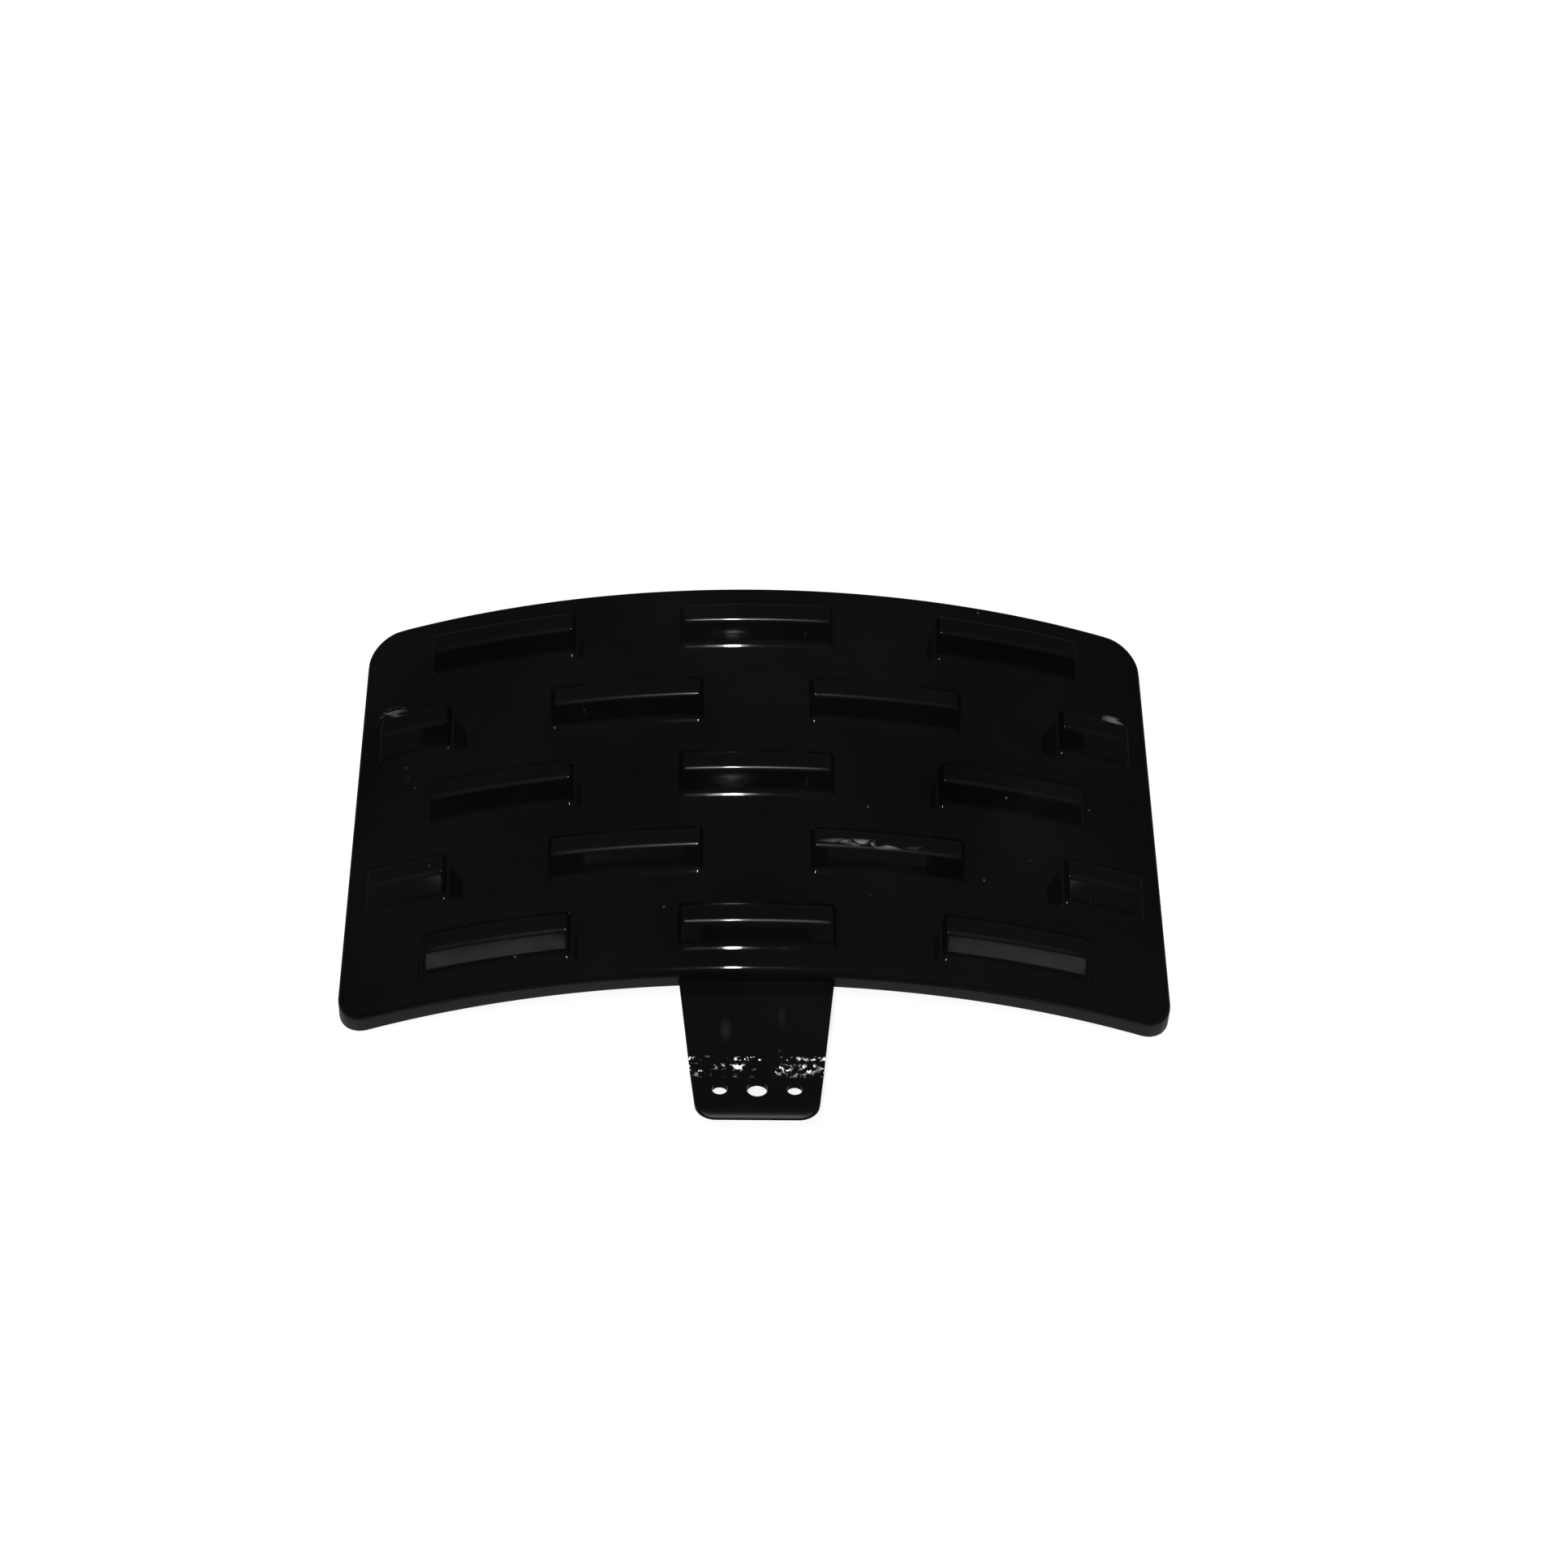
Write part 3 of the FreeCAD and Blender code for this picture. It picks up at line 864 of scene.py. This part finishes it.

# %% [markdown]
# Where the foot bends up, its surface is broken into tiny facets in two rows, each leaning forward so
# that it catches the lamp. Their pale colour is a painted highlight: a near-white base colour that
# stands in for the lamp's glints in them. Modelling them would take thousands of faces. Here a mask
# along the bend, cut up by noise, gives their painted highlight colour and turns the surface forward,
# and a slight bump makes them uneven. Faint waves from the mould bend the reflections on the whole
# part.

# %% Flecks at the bend of the foot, with a painted highlight
bend_middle, band_half = bend_start + 1.0, 0.006
upper_depth, upper_fade = 1.2, 0.0003
facet_way = (-0.03, -0.448, 0.8935)
bend_m, under_m = on_tab(0.0, bend_middle)[1], on_tab(0.0, bend_middle, upper_depth)[2]
rows_of_flecks = ramp(gloss, scaled(gloss, axes.outputs["Y"], bend_m - band_half, bend_m + band_half),
                      [(0.08, 0.0), (0.18, 0.75), (0.30, 0.8), (0.36, 1.0), (0.62, 1.0), (0.70, 0.0),
                       (0.78, 0.0), (0.83, 1.0), (0.92, 1.0), (0.98, 0.0)])
upper_side = scaled(gloss, axes.outputs["Z"], under_m, under_m + upper_fade)
pit_noise = shader(gloss, "ShaderNodeTexNoise", Vector=place, Scale=430.0, Detail=2.0, Roughness=0.6)
patchy = shader(gloss, "ShaderNodeTexNoise", Vector=place, Scale=150.0, Detail=1.0)
fleck_band = product(gloss, product(gloss, rows_of_flecks, upper_side),
                   scaled(gloss, patchy.outputs["Fac"], 0.44, 0.5))
painted_glint_fleck_mask = product(gloss, fleck_band, scaled(gloss, pit_noise.outputs["Fac"], 0.525, 0.545))
# Painted highlight: near-white base colour on the flecks stands in for the lamp's glints.
feed(gloss, surface.inputs["Base Color"], tinted(gloss, painted_glint_fleck_mask, with_painted_reflections, (0.95, 0.95, 0.95, 1)))

waves = shader(gloss, "ShaderNodeTexNoise", Vector=place, Scale=26.0, Detail=1.0)
mould_waves = shader(gloss, "ShaderNodeBump", Strength=0.04, Distance=0.0006, Height=waves.outputs["Fac"])
facets = shader(gloss, "ShaderNodeMix")
facets.data_type = "VECTOR"
for socket, value in zip((facets.inputs[0], facets.inputs[4], facets.inputs[5]),
                         (painted_glint_fleck_mask, mould_waves.outputs["Normal"], facet_way)):
    feed(gloss, socket, value)
pits = shader(gloss, "ShaderNodeBump", Strength=0.3, Distance=0.0004, Normal=facets.outputs[1],
              Height=product(gloss, fleck_band, pit_noise.outputs["Fac"]))
feed(gloss, surface.inputs["Normal"], pits.outputs["Normal"])
moulding_mesh.materials.append(gloss)
print("nodes in the finish", len(gloss.node_tree.nodes), "bend at y", round(float(bend_m), 4))

# %% [markdown]
# ## Table, camera and lamp
# The photograph has a pure white ground, so the table is a pale sheet that also glows a little.
# What the gloss mirrors is another matter: the part was lit in a dim room, with two lit patches of
# table in front of it. So the table shows plain white to the camera, and to the mirroring plastic a
# dark ground with painted light: those lit patches and a paler margin right at the part glow in the
# table's emission instead of being lit by lamps.

# %% The table
table_half = 4.0
table_corners = table_half * np.array([[-1, -1, 0], [1, -1, 0], [1, 1, 0], [-1, 1, 0]])
table_mesh = mesh_of("table", table_corners, np.array([[0, 1, 2, 3]]))
table = bpy.data.objects.new("table", table_mesh)
bpy.context.scene.collection.objects.link(table)
paper = bpy.data.materials.new("white_table")
paper.use_nodes = True
paper_surface = paper.node_tree.nodes["Principled BSDF"]
paper_surface.inputs["Base Color"].default_value = (0.9, 0.9, 0.9, 1)
paper_surface.inputs["Roughness"].default_value = 0.9
paper_surface.inputs["Specular IOR Level"].default_value = 0.0
paper_surface.inputs["Emission Color"].default_value = (1, 1, 1, 1)
paper_surface.inputs["Emission Strength"].default_value = 0.85
table_mesh.materials.append(paper)
print("table", 2 * table_half, "m wide")

# %% What the plastic mirrors of the table: painted light patches
patch_turn, patch_slant = 0.0156, -0.2087
paper_place = shader(paper, "ShaderNodeTexCoord").outputs["Object"]
paper_axes = shader(paper, "ShaderNodeSeparateXYZ", Vector=paper_place)
table_x, table_y = paper_axes.outputs["X"], paper_axes.outputs["Y"]
front_back, left_right = scaled(paper, table_y, -0.6, 0.2), scaled(paper, table_x, -0.4, 0.4)
straightened = reckoned(paper, "MULTIPLY_ADD", table_y, patch_turn, table_x)
off_centre = reckoned(paper, "ABSOLUTE", straightened)
slanted = reckoned(paper, "MULTIPLY_ADD", table_y, patch_slant, off_centre)
lit_along = ramp(paper, front_back, [(0.235, 0.0), (0.245, 1.0), (0.492, 1.0), (0.503, 0.0)])
lit_across = ramp(paper, scaled(paper, slanted, 0.21, 0.26),
                  [(0.12, 0.0), (0.17, 1.0), (0.72, 1.0), (0.76, 0.0)])
edge_along = ramp(paper, front_back, [(0.58, 0.0), (0.63, 1.0), (0.70, 1.0), (0.74, 0.0)])
edge_across = ramp(paper, left_right, [(0.27, 0.0), (0.29, 1.0), (0.71, 1.0), (0.73, 0.0)])
painted_lit_patches = scaled(paper, product(paper, lit_along, lit_across), 0.0, 1.0, 0.05, 0.55)
painted_margin_glow = scaled(paper, product(paper, edge_along, edge_across), 0.0, 1.0, 0.0, 0.17)
# Painted light: the lit patches and the pale margin are emission, seen only by mirrored rays.
painted_glow = shader(paper, "ShaderNodeEmission", Color=reckoned(paper, "ADD", painted_lit_patches, painted_margin_glow))
seen = shader(paper, "ShaderNodeLightPath").outputs["Is Camera Ray"]
either = shader(paper, "ShaderNodeMixShader")
for socket, value in zip(either.inputs, (seen, painted_glow.outputs["Emission"], paper_surface.outputs["BSDF"])):
    feed(paper, socket, value)
feed(paper, paper.node_tree.nodes["Material Output"].inputs["Surface"], either.outputs["Shader"])
print("nodes in the table", len(paper.node_tree.nodes))

# %% [markdown]
# The camera stands where the photographer stood, a good two metres in front of the tab and above it.
# Its place was fitted to the photograph, so it is written as three turns and as shifts in the
# photograph's pixels, three of which are a millimetre. It belongs to the leaning panel, so it is
# turned and shifted with it.

# %% Camera where the photographer stood
half_frame_px, away_px, px_per_mm = 966, 7000, 3
shift_right_px, shift_up_px = 33.63, 12.22
tilt, yaw, roll = 0.56281, 0.04201, -0.04406
x_axis = np.array([np.cos(yaw), -np.sin(yaw), 0])
y_axis = np.array([np.sin(yaw), np.cos(yaw), 0])
z_axis = np.array([0, 0, 1.0])
raised = np.cos(tilt) * y_axis + np.sin(tilt) * z_axis
towards = -np.sin(tilt) * y_axis + np.cos(tilt) * z_axis
right = np.cos(roll) * x_axis - np.sin(roll) * raised
up = np.sin(roll) * x_axis + np.cos(roll) * raised
aim = np.array([0, row_fronts[2], 0])
eye = aim + (shift_right_px * right + shift_up_px * up + away_px * towards) / px_per_mm
camera_data = bpy.data.cameras.new("camera")
camera_data.sensor_width = 36
camera_data.lens = camera_data.sensor_width / 2 * away_px / half_frame_px
camera_data.clip_end = 20
camera = bpy.data.objects.new("camera", camera_data)
turned = lean_turn @ np.stack([right, up, towards], axis=1)
matrix = np.eye(4)
matrix[:3, :3] = turned
matrix[:3, 3] = seated(eye)
camera.matrix_world = Matrix(matrix)
bpy.context.scene.collection.objects.link(camera)
bpy.context.scene.camera = camera
print("camera at", np.round(matrix[:3, 3], 3))

# %% [markdown]
# One narrow, tall lamp beside the camera draws the bright bands along the bars' rounded edges. The
# room around is dim and a little lighter towards its ceiling.

# %% Lamp and room
def soft_lamp(name, centre, target, width, depth, watts):
    """An area lamp at a centre that faces a target: its back axis points from the target to it."""
    data = bpy.data.lights.new(name, "AREA")
    data.shape, data.size, data.size_y, data.energy = "RECTANGLE", width, depth, watts
    lamp = bpy.data.objects.new(name, data)
    back = np.array(centre, dtype=float) - np.array(target, dtype=float)
    back /= np.linalg.norm(back)
    side = np.cross([0, 1, 0.001], back)
    side /= np.linalg.norm(side)
    frame_of = np.eye(4)
    frame_of[:3, :3] = np.stack([side, np.cross(back, side), back], axis=1)
    frame_of[:3, 3] = centre
    lamp.matrix_world = Matrix(frame_of)
    bpy.context.scene.collection.objects.link(lamp)


lamp_place = seated(eye) - 0.05 * turned[:, 0] + 0.1 * turned[:, 1]
soft_lamp("strip_by_camera", lamp_place, (0, 0, 0.03), 0.07, 0.7, 14.0)
world = bpy.data.worlds.new("dim_room")
world.use_nodes = True
world_place = shader(world, "ShaderNodeTexCoord").outputs["Generated"]
way = shader(world, "ShaderNodeSeparateXYZ", Vector=world_place)
room = ramp(world, way.outputs["Z"], [(0.05, 0.015), (0.3, 0.034), (0.6, 0.05), (1.0, 0.05)])
feed(world, world.node_tree.nodes["Background"].inputs["Color"], room)
bpy.context.scene.world = world
bpy.context.scene.view_settings.view_transform = "Standard"
